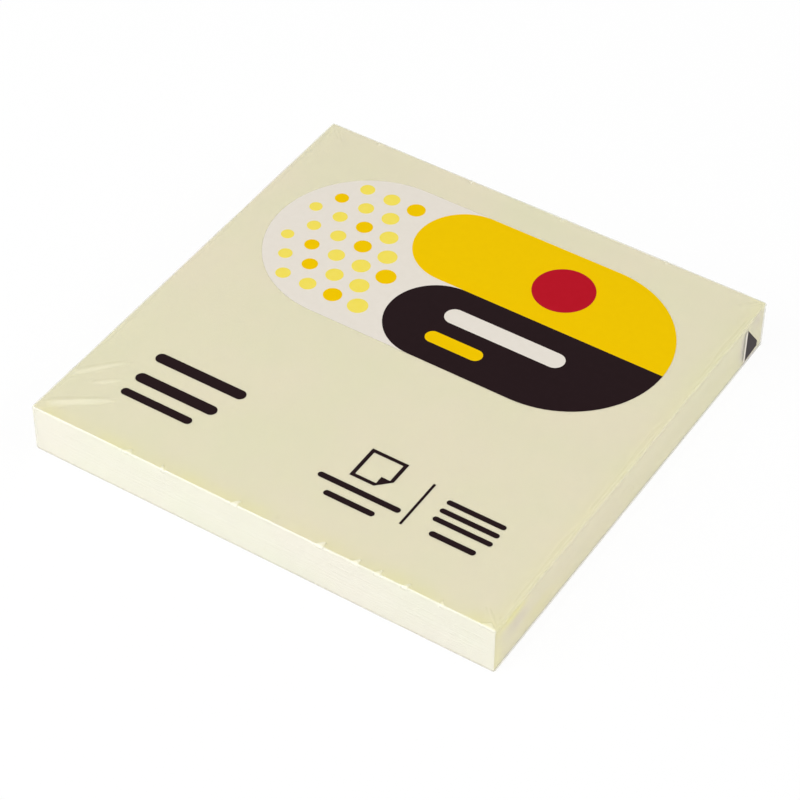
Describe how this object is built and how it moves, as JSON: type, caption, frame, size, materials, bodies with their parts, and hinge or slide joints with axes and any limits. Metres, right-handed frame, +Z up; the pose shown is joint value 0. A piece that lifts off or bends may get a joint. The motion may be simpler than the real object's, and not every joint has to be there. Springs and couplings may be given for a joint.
{
  "type": "sticky note pad",
  "caption": "Square pad of pale yellow self-stick notes, sealed in a clear film wrap with a printed face.",
  "frame": {"origin": "middle of the underside of the wrap, which the pad rests on", "axes": "+X along the printed lines from left to right, +Y towards the notes' glued edge, +Z up through the sheets"},
  "size_m": [0.0765, 0.0764, 0.0083],
  "materials": {
    "note_paper": "matt uncoated",
    "backing_paper": "matt, release coated",
    "clear_film": "clear gloss",
    "white_ink": "gloss print",
    "tint_ink": "gloss print",
    "yellow_ink": "gloss print",
    "dark_ink": "gloss print",
    "red_ink": "gloss print"
  },
  "bodies": {
    "root": {"note_block": "note_paper", "backing_sheet": "backing_paper", "film_wrap": "clear_film", "white_print": "white_ink", "tint_print": "tint_ink", "yellow_print": "yellow_ink", "dark_print": "dark_ink", "red_print": "red_ink"}
  },
  "joints": []
}
